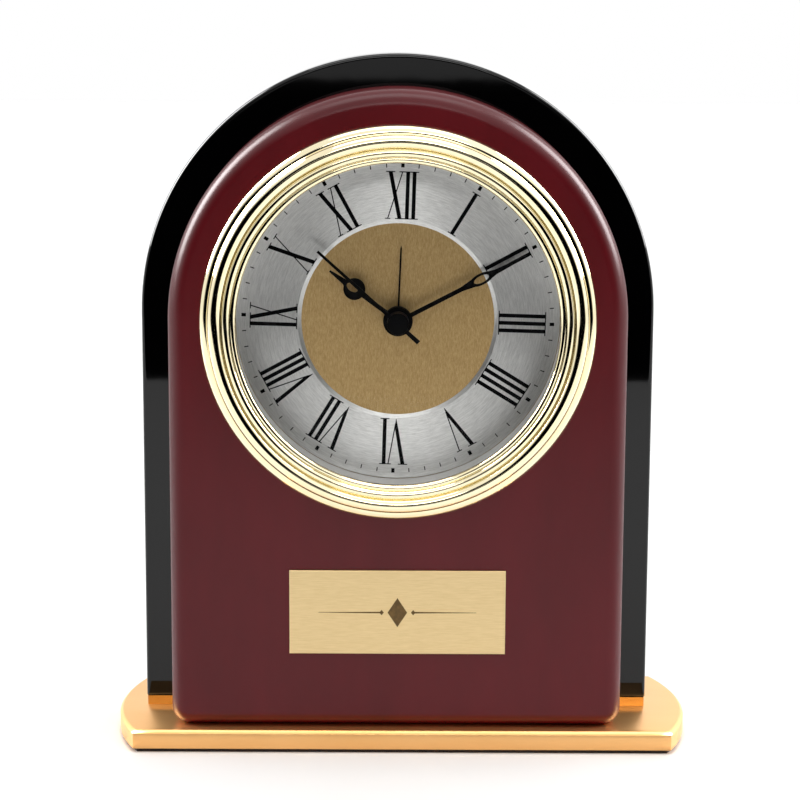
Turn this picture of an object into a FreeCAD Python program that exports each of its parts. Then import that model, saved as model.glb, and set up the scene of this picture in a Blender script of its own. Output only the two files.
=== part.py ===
"""Arch-shaped mantel clock with a quartz alarm insert.

Frame: millimetres, +Z up, front face towards -Y, origin under the middle of the
bounding box on the resting face. Every piece is written to parts/NODE.step.

Pieces of the round insert are placed by (u, w, d): u to the right and w up from the
hand axis, d backwards from the case's front face. The insert sits a little turned
in its bore, so its pieces are all turned together about the hand axis.
"""
import FreeCAD, Part
import math
import os

V = FreeCAD.Vector
os.makedirs("parts", exist_ok=True)

# ---------------------------------------------------------------- driving dimensions
# base
BASE_WIDTH = 155.6
BASE_CORNER_WIDTH = 144.1
BASE_FRONT = -25.68
BASE_DEPTH = 52.8
PAD_THICK = 1.0
PAD_INSET = 1.0
BASE_THICK = 5.14
BASE_CHAMFER = 0.8
BASE_TOP = PAD_THICK + BASE_THICK

# boards
CASE_X = -1.6
FACE_Y = BASE_FRONT + 3.6
JOINT_Y = BASE_FRONT + 23.2
REAR_Y = JOINT_Y + 18.0
ARCH_Z = 116.0
FRONT_HALF = 60.4
REAR_HALF = 68.85
FRONT_ROUND = 4.5
FRONT_CORNER = 4.7
REAR_ROUND = 1.0
PLINTH_THICK = 2.5
PLINTH_INSET = 0.3
BORE_R = 45.0

# screws up through the base, dowels between the boards: (x from the middle, z)
SCREW_R = 1.6
SCREW_HEAD_R = 3.4
SCREW_HEAD_DEEP = 2.2
SCREW_TOP = 20.0
SCREW_SPREAD = 35.0
DOWEL_R = 3.0
DOWEL_HALF = 8.0
DOWELS = ((-45.0, 30.0), (45.0, 30.0), (0.0, 168.5))

# nameplate
PLATE_W = 57.45
PLATE_H = 22.8
PLATE_X = CASE_X + 0.2
PLATE_Z = 38.25
PLATE_THICK = 0.8
TAPE_THICK = 0.1
TAPE_INSET = 1.0

# insert: radii about the hand axis, depths behind the case's front face
AXIS_Z = 115.6
INSERT_TURN = 1.6
BEZEL_R = 52.0
LIP_R = 42.17
LENS_R = 43.6
LENS_FRONT = -3.0
LENS_BACK = -1.5
LENS_GAP = 0.05
SEAL_INNER_R = 42.5
CUP_R = 44.7
CUP_INNER_R = 43.9
CUP_FRONT = -1.0
FLANGE_R = 47.8
FLANGE_GAP = 0.1
WALL_RING_R = 43.0
RING_R = 42.85
RING_INNER_R = 25.5
RING_FRONT = 8.8
RING_BEVEL = 0.8
DIAL_R = 43.85
DIAL_FRONT = 9.2
DIAL_BACK = 9.6
FLOOR_BACK = 11.0
GRIP = (3.0, 12.0)

# hands: angles clockwise from twelve, lengths from the hand axis
HAND_THICK = 0.35
THIN_HAND = 0.3
HOUR_ANGLE = 304.8
HOUR_RING_AT = 14.25
HOUR_RING_R = 2.9
HOUR_HOLE_AT = 14.95
HOUR_HOLE = (3.3, 2.0)
HOUR_LENGTH = 22.3
MINUTE_ANGLE = 60.9
EYE_AT = 24.6
EYE = (6.8, 3.0)
EYE_HOLE = (4.3, 1.8)
EYE_ROOT = (18.8, 22.4)
MINUTE_LENGTH = 38.1
SECOND_ANGLE = 310.5
SECOND_LENGTH = 28.3
SECOND_TAIL = 7.3
SECOND_CAP_R = 2.87
SECOND_FRONT = 0.0
SECOND_CAP_LONG = 4.2
SECOND_ROUND = 0.3
SECOND_SOCKET = 2.0
ALARM_ANGLE = 0.7
ALARM_LENGTH = 19.9

# coaxial pipes: bore and outside radius, and depth of the front end behind the case's face
SECOND_ARBOR_R = 0.5
MINUTE_PIPE = (0.6, 1.15, 4.6)
HOUR_PIPE = (1.25, 1.95, 5.75)
ALARM_PIPE = (2.05, 2.7, 7.0)
BUSH = (2.8, 3.5, 7.7)

# movement: every depth from here on is counted from the movement's own front
MOVEMENT_HALF = 28.0
WALL = 1.2
SPLIT = 10.6
BACK_WALL = 17.4
MOVEMENT_BACK = BACK_WALL + WALL
WINDOW_HALF = MOVEMENT_HALF + 0.3
RUN_GAP = 0.08
THROUGH = 40.0

# gear modules, and teeth of each wheel and pinion
M_FINE = 0.25
M_THIRD = 17.0 / 72
M_MOTION = 0.3
M_ALARM = 0.4
LEAVES = 8
INTERMEDIATE_TEETH = 40
SECOND_TEETH = 48
THIRD_TEETH = 60
CENTRE_TEETH = 64
CANNON_TEETH = 10
MINUTE_TEETH = 30
HOUR_TEETH = 32
SETTER_TEETH = 15
ALARM_TEETH = 24

# front and back of each toothed ring
ALARM_GEAR = (1.5, 2.3)
HOUR_GEAR = (2.7, 3.5)
MINUTE_PINION = (2.6, 3.9)
CANNON_GEAR = (3.7, 4.9)
MINUTE_GEAR = (3.9, 4.7)
SETTER_PINION = (3.8, 4.8)
THIRD_PINION = (5.3, 6.1)
CENTRE_GEAR = (5.4, 6.0)
SECOND_PINION = (7.3, 8.5)
THIRD_GEAR = (7.6, 8.2)
INTERMEDIATE_PINION = (8.9, 10.1)
SECOND_GEAR = (9.2, 9.8)
ROTOR_PINION = (10.7, 11.9)
INTERMEDIATE_GEAR = (11.0, 11.6)
ROTOR_MAGNET = (12.6, 14.1)
MAGNET_R = 2.8

# directions between the arbors, from +u towards +w
DIR_INTERMEDIATE = 110.0
DIR_ROTOR = 70.0
DIR_THIRD = 40.0
DIR_MINUTE_WHEEL = 150.0
DIR_TIME_KNOB = 165.0
DIR_ALARM_KNOB = -20.0

# arbors, knobs and shafts
ARBOR_R = 0.4
ARBOR_FRONT = 7.3
ARBOR_BACK = 17.0
BEARING_R = 1.0
PIVOT_FRONT = 15.6
PIVOT_R = 1.2
STUD_R = 0.5
SHAFT_R = 1.0
TIME_SHAFT_FRONT = 3.2
KNOB_D = MOVEMENT_BACK + 0.3
TIME_KNOB = (5.5, 2.6, 24)
ALARM_KNOB = (4.5, 2.4, 20)
KNURL_DEEP = 0.5
KNOB_RIM = 1.6

# shells, screws and the plate between them
POSTS = ((-13.5, -7.5), (16.0, -8.5), (-13.0, 20.0), (13.0, 20.0))
POST_R = 1.5
SHELL_SCREWS = ((-24.6, 24.6), (24.6, 24.6), (-24.6, -9.2), (24.6, -9.2))
BOSS_R = 2.1
SHELL_SCREW_R = 0.8
SHELL_HEAD_R = 1.6
SHELL_SCREW_FRONT = 3.6
SHELL_HEAD_FRONT = 17.8
PLATE_D = (6.4, 7.1)
PLATE_U = (-16.0, 18.0)
PLATE_SPAN_W = (-10.5, 22.5)
PLATE_BEARING_BACK = 7.8

# motor and circuit
STATOR_D = (12.8, 13.8)
CORE_D = (13.8, 14.8)
CORE_W = (20.4, 23.0)
STATOR_HALF = 12.5
STATOR_LEG = 4.0
STATOR_HOLE_R = 3.2
STATOR_POSTS = ((-10.5, 19.0), (10.5, 19.0))
COIL_R = 2.9
COIL_HALF = 7.5
CHEEK_THICK = 0.8
CHEEK_W = (18.7, 24.7)
CHEEK_D = (11.4, 17.2)
BOARD_U = (-26.4, -13.6)
BOARD_W = (-6.2, 21.8)
BOARD_D = (14.6, 15.4)
CRYSTAL = (1.0, 6.0)
CRYSTAL_AT = (-20.0, 10.0, 13.6)
BUZZER_AT = (19.3, 12.0)
BUZZER_R = 6.4
BUZZER_FRONT = 16.2
GRILLE_R = 5.0
GRILLE_STEP = 2.0
GRILLE_HALF = 0.4

# alarm switch
SWITCH_U = 15.0
SWITCH_W = 22.6
SWITCH_TRAVEL = 3.0
SWITCH_FRONT = 16.2
SWITCH_BACK = 19.8
SWITCH_RIB = 0.4

# battery, AA size, in its bay
BATTERY_R = 7.1
BATTERY_LEN = 49.2
BATTERY_W = -19.5
BATTERY_D = 8.8
NUB = (2.6, 1.2)
CONTACT_D = (4.2, 13.2)
CONTACT_HALF = 5.0
CONTACT_THICK = ((-1, 0.8), (1, 0.6))
BAY_TOP = -12.2
BAY_WALL = 1.0
DOOR_SIDE = 2.2
DOOR_GAP = 0.2
DOOR_RIBS = (-22.0, -20.0, -18.0)


# ---------------------------------------------------------------- helpers
def polar(u, w, distance, angle):
    """Point at a distance and an angle (from +u towards +w) from another."""
    a = math.radians(angle)
    return u + distance * math.cos(a), w + distance * math.sin(a)


def place(u, w, d):
    return V(CASE_X + u, FACE_Y + d, AXIS_Z + w)


def span(middle, half):
    return middle - half, middle + half


def rod(u, w, d0, d1, r):
    return Part.makeCylinder(r, d1 - d0, place(u, w, d0), V(0, 1, 0))


def tube(u, w, d0, d1, r_out, r_in):
    return rod(u, w, d0, d1, r_out).cut(rod(u, w, d0 - 1, d1 + 1, r_in))


def block(u0, u1, w0, w1, d0, d1):
    return Part.makeBox(u1 - u0, d1 - d0, w1 - w0, place(u0, w0, d0))


def box(x0, x1, y0, y1, z0, z1):
    return Part.makeBox(x1 - x0, y1 - y0, z1 - z0, V(x0, y0, z0))


def slab(points, d0, d1):
    """Straight-sided outline in (u, w), from depth d0 to d1."""
    wire = Part.makePolygon([place(u, w, d0) for u, w in points + points[:1]])
    return Part.Face(wire).extrude(V(0, d1 - d0, 0))


def fuse(shapes):
    first = shapes[0]
    return first.multiFuse(shapes[1:]).removeSplitter() if len(shapes) > 1 else first


def arc(a, b, c):
    return Part.Arc(a, b, c).toShape()


def line(a, b):
    return Part.LineSegment(a, b).toShape()


def spin(edges):
    """Ring from a closed section of (radius, depth) edges, turned about the hand axis."""
    return Part.Face(Part.Wire(edges)).revolve(place(0, 0, 0), V(0, 1, 0), 360)


def save(name, shape):
    shape.exportStep("parts/" + name + ".step")


def save_insert(name, shape):
    """Write a piece of the insert, turned in the bore with the rest."""
    turned = shape.copy()
    turned.rotate(place(0, 0, 0), V(0, 1, 0), INSERT_TURN)
    save(name, turned)


def save_movement(name, shape):
    """Write a piece built from the movement's own front, set back behind the cup's floor."""
    seated = shape.copy()
    seated.translate(V(0, FLOOR_BACK, 0))
    save_insert(name, seated)


def bored(shape, u, w, r):
    return shape.cut(rod(u, w, -THROUGH, THROUGH, r))


# ---------------------------------------------------------------- gears
def gear(u, w, d0, d1, teeth, module, tooth_angle):
    """Straight-flanked spur gear with one tooth centred at tooth_angle."""
    pitch_r = teeth * module / 2
    tip_r = pitch_r + 0.8 * module
    root_r = pitch_r - 1.1 * module
    step = 360.0 / teeth
    root_half = 0.27 * step
    tip_half = 0.11 * step
    points = []
    for k in range(teeth):
        middle = tooth_angle + k * step
        points.append(polar(u, w, root_r, middle - root_half))
        points.append(polar(u, w, tip_r, middle - tip_half))
        points.append(polar(u, w, tip_r, middle + tip_half))
        points.append(polar(u, w, root_r, middle + root_half))
    return slab(points, d0, d1)


def meshed(angle_a, teeth_a, teeth_b, direction):
    """Tooth angle of gear b that meshes with gear a, seen from a along direction."""
    return direction + 180 - (angle_a - direction) * teeth_a / teeth_b + 180.0 / teeth_b


# ---------------------------------------------------------------- case
def arch_face(half, bottom, y):
    left = CASE_X - half
    right = CASE_X + half
    edges = [
        line(V(left, y, bottom), V(right, y, bottom)),
        line(V(right, y, bottom), V(right, y, ARCH_Z)),
        arc(V(right, y, ARCH_Z), V(CASE_X, y, ARCH_Z + half), V(left, y, ARCH_Z)),
        line(V(left, y, ARCH_Z), V(left, y, bottom)),
    ]
    return Part.Face(Part.Wire(edges))


def edges_at_y(shape, y):
    return [e for e in shape.Edges if abs(e.BoundBox.YMin - y) < 1e-6 and abs(e.BoundBox.YMax - y) < 1e-6]


def base_outline(inset, z):
    half_corner = BASE_CORNER_WIDTH / 2 - inset
    half_mid = BASE_WIDTH / 2 - inset
    y0 = BASE_FRONT + inset
    y1 = BASE_FRONT + BASE_DEPTH - inset
    ym = (y0 + y1) / 2
    edges = [
        line(V(-half_corner, y0, z), V(half_corner, y0, z)),
        arc(V(half_corner, y0, z), V(half_mid, ym, z), V(half_corner, y1, z)),
        line(V(half_corner, y1, z), V(-half_corner, y1, z)),
        arc(V(-half_corner, y1, z), V(-half_mid, ym, z), V(-half_corner, y0, z)),
    ]
    return Part.Face(Part.Wire(edges))


def make_base_screws():
    screws = []
    for y in ((FACE_Y + JOINT_Y) / 2, (JOINT_Y + REAR_Y) / 2):
        for x in (CASE_X - SCREW_SPREAD, CASE_X + SCREW_SPREAD):
            head = Part.makeCone(SCREW_HEAD_R, SCREW_R, SCREW_HEAD_DEEP, V(x, y, PAD_THICK))
            shank = Part.makeCylinder(SCREW_R, SCREW_TOP - PAD_THICK, V(x, y, PAD_THICK))
            screws.append(head.fuse(shank).removeSplitter())
    return screws


def make_dowels():
    y = JOINT_Y - DOWEL_HALF
    return [Part.makeCylinder(DOWEL_R, 2 * DOWEL_HALF, V(CASE_X + x, y, z), V(0, 1, 0)) for x, z in DOWELS]


def make_case():
    screws = make_base_screws()
    dowels = make_dowels()
    save("base_screws", Part.makeCompound(screws))
    save("board_dowels", Part.makeCompound(dowels))

    pad = base_outline(PAD_INSET, 0).extrude(V(0, 0, PAD_THICK))
    save("base_pad", pad)

    base = base_outline(0, PAD_THICK).extrude(V(0, 0, BASE_THICK))
    rim = [e for e in base.Edges if e.BoundBox.ZMin > BASE_TOP - 0.01]
    base = base.makeChamfer(BASE_CHAMFER, rim)
    save("base_plate", base.cut(Part.makeCompound(screws)))

    plinth_half = REAR_HALF - PLINTH_INSET
    plinth = box(CASE_X - plinth_half, CASE_X + plinth_half, JOINT_Y + PLINTH_INSET,
                 REAR_Y - PLINTH_INSET, BASE_TOP, BASE_TOP + PLINTH_THICK)
    save("rear_plinth", plinth.cut(Part.makeCompound(screws)))

    bore = rod(0, 0, -THROUGH, 2 * THROUGH, BORE_R)
    cuts = Part.makeCompound(screws + dowels)

    front = arch_face(FRONT_HALF, BASE_TOP, FACE_Y).extrude(V(0, JOINT_Y - FACE_Y, 0))
    corners = [e for e in front.Edges if e.BoundBox.ZMax < BASE_TOP + 0.01 and e.BoundBox.YLength > 1]
    front = front.makeFillet(FRONT_CORNER, corners)
    front = front.makeFillet(FRONT_ROUND, edges_at_y(front, FACE_Y))
    save("front_board", front.cut(bore).cut(cuts))

    rear_bottom = BASE_TOP + PLINTH_THICK
    rear = arch_face(REAR_HALF, rear_bottom, JOINT_Y).extrude(V(0, REAR_Y - JOINT_Y, 0))
    rear = rear.makeFillet(REAR_ROUND, edges_at_y(rear, JOINT_Y) + edges_at_y(rear, REAR_Y))
    save("rear_board", rear.cut(bore).cut(cuts))

    left = PLATE_X - PLATE_W / 2
    right = PLATE_X + PLATE_W / 2
    low = PLATE_Z - PLATE_H / 2
    high = PLATE_Z + PLATE_H / 2
    save("nameplate_tape", box(left + TAPE_INSET, right - TAPE_INSET, FACE_Y - TAPE_THICK, FACE_Y,
                               low + TAPE_INSET, high - TAPE_INSET))
    save("nameplate", box(left, right, FACE_Y - TAPE_THICK - PLATE_THICK, FACE_Y - TAPE_THICK, low, high))


# ---------------------------------------------------------------- insert housing
def make_bezel():
    """Polished ring of convex steps that covers the cup's flange and holds the glass."""
    def p(r, d):
        return place(r, 0, d)

    edges = [
        line(p(BEZEL_R, 0), p(BEZEL_R, -0.6)),
        arc(p(BEZEL_R, -0.6), p(51.27, -2.0), p(49.85, -2.6)),
        line(p(49.85, -2.6), p(49.65, -2.9)),
        arc(p(49.65, -2.9), p(48.45, -4.9), p(46.23, -4.3)),
        line(p(46.23, -4.3), p(46.03, -3.7)),
        arc(p(46.03, -3.7), p(44.86, -4.6), p(43.78, -3.9)),
        line(p(43.78, -3.9), p(43.69, -3.6)),
        arc(p(43.69, -3.6), p(42.81, -3.75), p(LIP_R, LENS_FRONT)),
        line(p(LIP_R, LENS_FRONT), p(LENS_R + LENS_GAP, LENS_FRONT)),
        line(p(LENS_R + LENS_GAP, LENS_FRONT), p(LENS_R + LENS_GAP, CUP_FRONT)),
        line(p(LENS_R + LENS_GAP, CUP_FRONT), p(FLANGE_R + FLANGE_GAP, CUP_FRONT)),
        line(p(FLANGE_R + FLANGE_GAP, CUP_FRONT), p(FLANGE_R + FLANGE_GAP, 0)),
        line(p(FLANGE_R + FLANGE_GAP, 0), p(BEZEL_R, 0)),
    ]
    return spin(edges)


def make_chapter_ring():
    """Silver ring that carries the hours, bevelled down to the gold centre."""
    foot = DIAL_FRONT - 0.1
    corners = [(RING_INNER_R, DIAL_FRONT), (RING_INNER_R, foot), (RING_INNER_R + RING_BEVEL, RING_FRONT),
               (RING_R, RING_FRONT), (RING_R, DIAL_FRONT)]
    section = [place(r, 0, d) for r, d in corners]
    return spin([line(a, b) for a, b in zip(section, section[1:] + section[:1])])


def make_cup():
    """Plastic cup with a flange on the case's face and a snap-in seat for the movement."""
    back_front = FLOOR_BACK + BACK_WALL
    back_rear = FLOOR_BACK + MOVEMENT_BACK
    h = WINDOW_HALF
    overlap = 0.1
    wall = tube(0, 0, CUP_FRONT, back_rear, CUP_R, CUP_INNER_R)
    flange = tube(0, 0, CUP_FRONT, 0, FLANGE_R, CUP_INNER_R)
    floor = tube(0, 0, DIAL_BACK, FLOOR_BACK, CUP_INNER_R + overlap, BUSH[1] + overlap)
    back = rod(0, 0, back_front, back_rear, CUP_INNER_R + overlap)
    return fuse([wall, flange, floor, back.cut(block(-h, h, -h, h, 0, 2 * THROUGH))])


def make_housing():
    save_insert("bezel", make_bezel())
    save_insert("lens", rod(0, 0, LENS_FRONT, LENS_BACK, LENS_R))
    save_insert("lens_seal", tube(0, 0, LENS_BACK, CUP_FRONT, LENS_R, SEAL_INNER_R))
    save_insert("inner_ring", tube(0, 0, CUP_FRONT, DIAL_FRONT, CUP_INNER_R - LENS_GAP, WALL_RING_R))
    save_insert("dial", tube(0, 0, DIAL_FRONT, DIAL_BACK, DIAL_R, BUSH[1] + 0.1))
    save_insert("chapter_ring", make_chapter_ring())
    save_insert("insert_cup", make_cup())
    save_insert("grip_ring", tube(0, 0, *GRIP, BORE_R, CUP_R))


# ---------------------------------------------------------------- movement layout
MIDDLE_AT = (0.0, 0.0)
INTERMEDIATE_AT = polar(*MIDDLE_AT, M_FINE * (SECOND_TEETH + LEAVES) / 2, DIR_INTERMEDIATE)
ROTOR_AT = polar(*INTERMEDIATE_AT, M_FINE * (INTERMEDIATE_TEETH + LEAVES) / 2, DIR_ROTOR)
THIRD_AT = polar(*MIDDLE_AT, M_FINE * (THIRD_TEETH + LEAVES) / 2, DIR_THIRD)
MINUTE_WHEEL_AT = polar(*MIDDLE_AT, M_MOTION * (MINUTE_TEETH + CANNON_TEETH) / 2, DIR_MINUTE_WHEEL)
TIME_KNOB_AT = polar(*MINUTE_WHEEL_AT, M_MOTION * (MINUTE_TEETH + SETTER_TEETH) / 2, DIR_TIME_KNOB)
ALARM_KNOB_AT = polar(*MIDDLE_AT, M_ALARM * ALARM_TEETH, DIR_ALARM_KNOB)


# ---------------------------------------------------------------- going train
def make_second_wheel():
    arbor = rod(*MIDDLE_AT, SECOND_FRONT + SECOND_SOCKET - FLOOR_BACK, ARBOR_BACK, SECOND_ARBOR_R)
    wheel = gear(*MIDDLE_AT, *SECOND_GEAR, SECOND_TEETH, M_FINE, DIR_INTERMEDIATE)
    pinion = gear(*MIDDLE_AT, *SECOND_PINION, LEAVES, M_FINE, DIR_THIRD)
    return fuse([arbor, wheel, pinion])


def make_intermediate_wheel():
    tooth = meshed(DIR_INTERMEDIATE, SECOND_TEETH, LEAVES, DIR_INTERMEDIATE)
    arbor = rod(*INTERMEDIATE_AT, ARBOR_FRONT, ARBOR_BACK, ARBOR_R)
    wheel = gear(*INTERMEDIATE_AT, *INTERMEDIATE_GEAR, INTERMEDIATE_TEETH, M_FINE, DIR_ROTOR)
    pinion = gear(*INTERMEDIATE_AT, *INTERMEDIATE_PINION, LEAVES, M_FINE, tooth)
    return fuse([arbor, wheel, pinion])


def make_rotor():
    tooth = meshed(DIR_ROTOR, INTERMEDIATE_TEETH, LEAVES, DIR_ROTOR)
    arbor = rod(*ROTOR_AT, ARBOR_FRONT, ARBOR_BACK, ARBOR_R)
    pinion = gear(*ROTOR_AT, *ROTOR_PINION, LEAVES, M_FINE, tooth)
    return fuse([arbor, pinion, rod(*ROTOR_AT, *ROTOR_MAGNET, MAGNET_R)])


def make_third_wheel():
    tooth = meshed(DIR_THIRD, LEAVES, THIRD_TEETH, DIR_THIRD)
    arbor = rod(*THIRD_AT, WALL + 0.3, ARBOR_BACK, ARBOR_R)
    wheel = gear(*THIRD_AT, *THIRD_GEAR, THIRD_TEETH, M_FINE, tooth)
    pinion = gear(*THIRD_AT, *THIRD_PINION, LEAVES, M_THIRD, DIR_THIRD + 180)
    return fuse([arbor, wheel, pinion])


def make_centre_wheel():
    tooth = meshed(DIR_THIRD + 180, LEAVES, CENTRE_TEETH, DIR_THIRD + 180)
    wheel = gear(*MIDDLE_AT, *CENTRE_GEAR, CENTRE_TEETH, M_THIRD, tooth)
    return bored(wheel, *MIDDLE_AT, MINUTE_PIPE[1] + RUN_GAP)


# ---------------------------------------------------------------- motion work and setting
def make_pipe_wheel(pipe, back, wheel):
    """Toothed wheel fused to the pipe that carries a hand."""
    bore, outside, front = pipe
    return bored(fuse([rod(*MIDDLE_AT, front - FLOOR_BACK, back, outside), wheel]), *MIDDLE_AT, bore)


def make_motion_work():
    """Cannon pinion, minute wheel, hour wheel and alarm wheel, with the two setting knobs."""
    cannon = gear(*MIDDLE_AT, *CANNON_GEAR, CANNON_TEETH, M_MOTION, DIR_MINUTE_WHEEL)
    save_movement("cannon_pinion", make_pipe_wheel(MINUTE_PIPE, CENTRE_GEAR[1] + 0.2, cannon))

    wheel_tooth = meshed(DIR_MINUTE_WHEEL, CANNON_TEETH, MINUTE_TEETH, DIR_MINUTE_WHEEL)
    back_way = DIR_MINUTE_WHEEL + 180
    wheel = gear(*MINUTE_WHEEL_AT, *MINUTE_GEAR, MINUTE_TEETH, M_MOTION, wheel_tooth)
    pinion = gear(*MINUTE_WHEEL_AT, *MINUTE_PINION, LEAVES, M_MOTION, back_way)
    save_movement("minute_wheel", bored(fuse([wheel, pinion]), *MINUTE_WHEEL_AT, STUD_R + RUN_GAP))

    hour = gear(*MIDDLE_AT, *HOUR_GEAR, HOUR_TEETH, M_MOTION, meshed(back_way, LEAVES, HOUR_TEETH, back_way))
    save_movement("hour_wheel", make_pipe_wheel(HOUR_PIPE, HOUR_GEAR[1], hour))

    alarm = gear(*MIDDLE_AT, *ALARM_GEAR, ALARM_TEETH, M_ALARM, DIR_ALARM_KNOB)
    save_movement("alarm_wheel", make_pipe_wheel(ALARM_PIPE, ALARM_GEAR[1], alarm))

    tooth = meshed(wheel_tooth, MINUTE_TEETH, SETTER_TEETH, DIR_TIME_KNOB)
    pinion = gear(*TIME_KNOB_AT, *SETTER_PINION, SETTER_TEETH, M_MOTION, tooth)
    shaft = rod(*TIME_KNOB_AT, TIME_SHAFT_FRONT, KNOB_D + 0.2, SHAFT_R)
    save_movement("time_knob", fuse([shaft, pinion, make_knob(*TIME_KNOB_AT, *TIME_KNOB)]))

    tooth = meshed(DIR_ALARM_KNOB, ALARM_TEETH, ALARM_TEETH, DIR_ALARM_KNOB)
    pinion = gear(*ALARM_KNOB_AT, *ALARM_GEAR, ALARM_TEETH, M_ALARM, tooth)
    shaft = rod(*ALARM_KNOB_AT, ALARM_GEAR[0], KNOB_D + 0.2, SHAFT_R)
    save_movement("alarm_knob", fuse([shaft, pinion, make_knob(*ALARM_KNOB_AT, *ALARM_KNOB)]))


def make_knob(u, w, r, height, ribs):
    """Knurled disc with a dished back."""
    points = []
    step = 360.0 / ribs
    for k in range(ribs):
        points.append(polar(u, w, r, (k - 0.25) * step))
        points.append(polar(u, w, r, (k + 0.1) * step))
        points.append(polar(u, w, r - KNURL_DEEP, (k + 0.25) * step))
        points.append(polar(u, w, r - KNURL_DEEP, (k + 0.6) * step))
    disc = slab(points, KNOB_D, KNOB_D + height)
    dish = rod(u, w, KNOB_D + height - KNURL_DEEP, KNOB_D + height + 1, r - KNOB_RIM)
    return disc.cut(dish)


# ---------------------------------------------------------------- movement shells
def bearing(u, w, d0, d1):
    return tube(u, w, d0, d1, BEARING_R, ARBOR_R + RUN_GAP)


def shell_wall(d0, d1):
    h = MOVEMENT_HALF
    inside = h - WALL
    return block(-h, h, -h, h, d0, d1).cut(block(-inside, inside, -inside, inside, d0 - 1, d1 + 1))


def bay_wall(d0, d1):
    """Wall between the battery bay and the gears."""
    inside = MOVEMENT_HALF - WALL
    return block(-inside, inside, BAY_TOP, BAY_TOP + BAY_WALL, d0, d1)


def make_shell_screw(u, w):
    shank = rod(u, w, SHELL_SCREW_FRONT, SHELL_HEAD_FRONT, SHELL_SCREW_R)
    return shank.fuse(rod(u, w, SHELL_HEAD_FRONT, MOVEMENT_BACK, SHELL_HEAD_R)).removeSplitter()


def make_front_shell(screws):
    h = MOVEMENT_HALF
    floor = block(-h, h, -h, h, 0, WALL)
    bush = rod(*MIDDLE_AT, BUSH[2] - FLOOR_BACK, 0, BUSH[1])
    posts = [rod(u, w, WALL, PLATE_D[0], POST_R) for u, w in POSTS]
    bosses = [rod(u, w, WALL, SPLIT, BOSS_R) for u, w in SHELL_SCREWS]
    stud = rod(*MINUTE_WHEEL_AT, WALL - 0.1, CANNON_GEAR[1], STUD_R)
    pivot = bearing(*THIRD_AT, WALL, MINUTE_PINION[0] + 0.2)
    front = fuse([floor, shell_wall(0, SPLIT), bay_wall(WALL, SPLIT), bush, stud, pivot] + posts + bosses)
    return front.cut(rod(*MIDDLE_AT, -THROUGH, CANNON_GEAR[0], BUSH[0])).cut(screws)


def make_rear_shell(screws):
    h = MOVEMENT_HALF
    back = block(-h, h, -h, h, BACK_WALL, MOVEMENT_BACK)
    bosses = [rod(u, w, SPLIT, BACK_WALL, BOSS_R) for u, w in SHELL_SCREWS]
    arbors = (MIDDLE_AT, INTERMEDIATE_AT, ROTOR_AT, THIRD_AT)
    pivots = [rod(u, w, PIVOT_FRONT, BACK_WALL, PIVOT_R) for u, w in arbors]
    rear = fuse([back, shell_wall(SPLIT, MOVEMENT_BACK), bay_wall(SPLIT, BACK_WALL)] + bosses + pivots)
    rear = rear.cut(screws).cut(rod(*MIDDLE_AT, 0, BACK_WALL, SECOND_ARBOR_R + RUN_GAP))
    for u, w in arbors[1:]:
        rear = rear.cut(rod(u, w, 0, BACK_WALL, ARBOR_R + RUN_GAP))
    for u, w in (TIME_KNOB_AT, ALARM_KNOB_AT):
        rear = bored(rear, u, w, SHAFT_R + RUN_GAP)
    return rear.cut(make_back_openings())


def make_back_openings():
    """Battery door, switch slot and buzzer grille, cut through the back wall."""
    h = MOVEMENT_HALF
    d0 = BACK_WALL - 1
    d1 = MOVEMENT_BACK + 1
    slot_end = SWITCH_U + 0.7 + SWITCH_TRAVEL
    slot_low, slot_high = span(SWITCH_W, 1.1)
    openings = [block(-h + 2, h - 2, -h + 1, BAY_TOP, d0, d1),
                block(SWITCH_U - 3.7, slot_end, slot_low, slot_high, d0, d1)]
    for k in range(-2, 3):
        across = GRILLE_STEP * k
        low, high = span(BUZZER_AT[1], math.sqrt(GRILLE_R ** 2 - across ** 2))
        openings.append(block(*span(BUZZER_AT[0] + across, GRILLE_HALF), low, high, d0, d1))
    return Part.makeCompound(openings)


def make_door():
    h = MOVEMENT_HALF
    lid = block(-h + DOOR_SIDE, h - DOOR_SIDE, -h + WALL, BAY_TOP - DOOR_GAP, BACK_WALL, MOVEMENT_BACK)
    ribs = [block(-6, 6, w, w + 0.6, MOVEMENT_BACK, MOVEMENT_BACK + 0.5) for w in DOOR_RIBS]
    return fuse([lid] + ribs)


def make_middle_plate():
    """Plate that bears the front ends of the fast arbors and carries the stator."""
    plate = block(*PLATE_U, *PLATE_SPAN_W, *PLATE_D)
    bearings = [bearing(u, w, PLATE_D[1], PLATE_BEARING_BACK) for u, w in (INTERMEDIATE_AT, ROTOR_AT)]
    posts = [rod(u, w, PLATE_D[1], STATOR_D[0], PIVOT_R) for u, w in STATOR_POSTS]
    plate = bored(fuse([plate] + bearings + posts), *MIDDLE_AT, SECOND_ARBOR_R + RUN_GAP)
    plate = bored(plate, *THIRD_AT, POST_R)
    for u, w in (TIME_KNOB_AT, ALARM_KNOB_AT):
        plate = bored(plate, u, w, SHAFT_R + RUN_GAP)
    return plate


# ---------------------------------------------------------------- motor, circuit and alarm
def make_stator(core):
    w = ROTOR_AT[1]
    yoke = block(-STATOR_HALF, STATOR_HALF, w - 4.5, w + 4.5, *STATOR_D)
    legs = [block(u, u + STATOR_LEG, w, 24.0, *STATOR_D) for u in (-STATOR_HALF, STATOR_HALF - STATOR_LEG)]
    return bored(fuse([yoke] + legs + [core]), *ROTOR_AT, STATOR_HOLE_R)


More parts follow.
